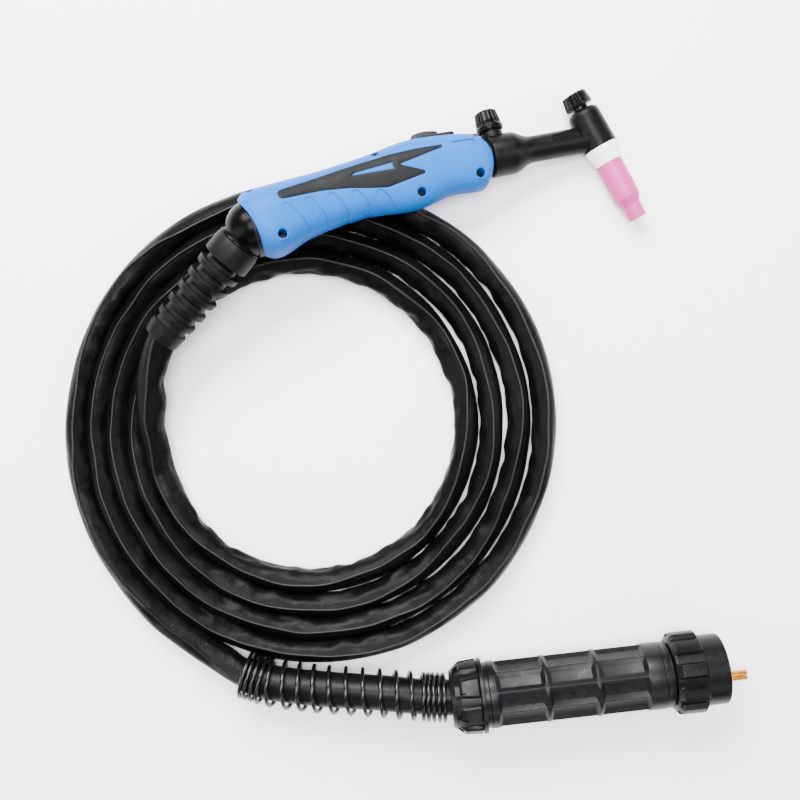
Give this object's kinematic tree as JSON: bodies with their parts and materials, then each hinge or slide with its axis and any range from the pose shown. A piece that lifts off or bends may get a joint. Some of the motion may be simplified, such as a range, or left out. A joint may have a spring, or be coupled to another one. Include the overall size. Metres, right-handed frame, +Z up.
{
  "type": "tig torch",
  "caption": "Hand-held TIG welding torch with angled ceramic-cup head, gas-valve knob, contoured two-shell handle with trigger, ball knuckle, coiled sleeved lead and screw-ring connector.",
  "frame": {"origin": "centre of the torch's footprint on the bench, measured without the knuckle ball, the boot, the lead and the connector", "axes": "+X along the torch towards its head as seen from above, +Y towards the trigger side, +Z up from the bench; the torch lies on its left side, nose down by 9.1 degrees"},
  "size_m": [0.4759, 0.4707, 0.0777],
  "materials": {
    "body_black": "satin moulded insulation",
    "brass": "machined",
    "copper": "machined copper",
    "ptfe_white": "matt white PTFE",
    "alumina_pink": "matt pink ceramic",
    "knob_black": "semi-gloss moulded",
    "seal": "rubber",
    "steel": "machined",
    "handle_blue": "fine satin moulding",
    "grip_soft": "soft matt overmould",
    "screw_dark": "blackened steel",
    "switch_black": "moulded",
    "wire_red": "insulated wire",
    "ball_gloss": "glossy",
    "liner": "natural nylon",
    "boot_rubber": "ribbed rubber",
    "cable_sleeve": "grained sleeve",
    "spring_black": "coated wire",
    "connector_grey": "fine-textured moulding",
    "nut_black": "moulded",
    "pin_gold": "gilt"
  },
  "bodies": {
    "lead": {"knuckle_ball": "ball_gloss", "strain_relief_boot": "boot_rubber", "cable_lead_in": "cable_sleeve", "cable_coil": "cable_sleeve", "cable_lead_out": "cable_sleeve", "spring_sleeve": "boot_rubber", "bend_spring": "spring_black", "rear_cap": "connector_grey", "cable_clamp": "steel", "connector_housing": "connector_grey", "front_collar": "nut_black", "plug_body": "switch_black", "power_pin": "pin_gold", "gas_spigot": "brass", "gas_o_ring": "seal"},
    "lock_nut": {"lock_nut": "nut_black"},
    "control_pins": {"control_pins": "pin_gold"},
    "swivel": {"knuckle_seat": "liner"},
    "torch": {"head_body": "body_black", "torch_core": "brass", "power_tube": "copper", "collet_body": "copper", "collet": "copper", "cup_gasket": "ptfe_white", "gas_cup": "alumina_pink", "valve_seat": "brass", "handle_shell_right": "handle_blue", "handle_shell_left": "handle_blue", "grip_inlay_right": "grip_soft", "grip_inlay_left": "grip_soft", "handle_screws": "screw_dark", "trigger_bezel": "switch_black", "trigger_spring": "steel", "micro_switch": "switch_black", "switch_leads": "wire_red", "hose_fitting": "brass", "inner_hose": "seal"},
    "trigger": {"trigger_button": "switch_black"},
    "valve_lift": {"valve_o_ring": "seal"},
    "valve": {"valve_stem": "steel", "valve_knob": "knob_black"},
    "cap_lift": {"cap_o_ring": "seal"},
    "cap": {"back_cap": "knob_black"}
  },
  "joints": [
    {"name": "torch_turn", "type": "hinge", "parent": "lead", "child": "swivel", "pos_m": [-0.13664, 0.0155, 0.05498], "axis": [0, 0, 1], "range_deg": [0, 40]},
    {"name": "torch_lift", "type": "hinge", "parent": "swivel", "child": "torch", "pos_m": [-0.13664, 0.0155, 0.05498], "axis": [0, -1, 0], "range_deg": [0, 25]},
    {"name": "trigger_press", "type": "slide", "parent": "torch", "child": "trigger", "axis": [-0.0946, -0.9954, 0.0152], "range_m": [0, 0.0016], "stiffness_N_per_m": 1500},
    {"name": "valve_rise", "type": "slide", "parent": "torch", "child": "valve_lift", "axis": [0, 1, 0], "range_m": [0, 0.0015]},
    {"name": "valve_turn", "type": "hinge", "parent": "valve_lift", "child": "valve", "pos_m": [0.04889, 0.0145, 0.02526], "axis": [0, 1, 0], "range_deg": [0, 540]},
    {"name": "cap_rise", "type": "slide", "parent": "torch", "child": "cap_lift", "axis": [-0.1985, 0.9796, 0.0318], "range_m": [0, 0.003]},
    {"name": "cap_turn", "type": "hinge", "parent": "cap_lift", "child": "cap", "pos_m": [0.11916, 0.04309, 0.014], "axis": [-0.1985, 0.9796, 0.0318], "range_deg": [0, 1080]},
    {"name": "nut_turn", "type": "hinge", "parent": "lead", "child": "lock_nut", "pos_m": [0.07107, -0.38389, 0.0296], "axis": [0.9833, -0.1822, 0], "continuous": true},
    {"name": "contact_press", "type": "slide", "parent": "lead", "child": "control_pins", "axis": [-0.9833, 0.1822, 0], "range_m": [0, 0.0025], "stiffness_N_per_m": 400}
  ],
  "couplings": [
    {"joint": "valve_turn", "follows": "valve_rise", "rad_per_m": 6283.2},
    {"joint": "cap_turn", "follows": "cap_rise", "rad_per_m": 6283.2}
  ]
}
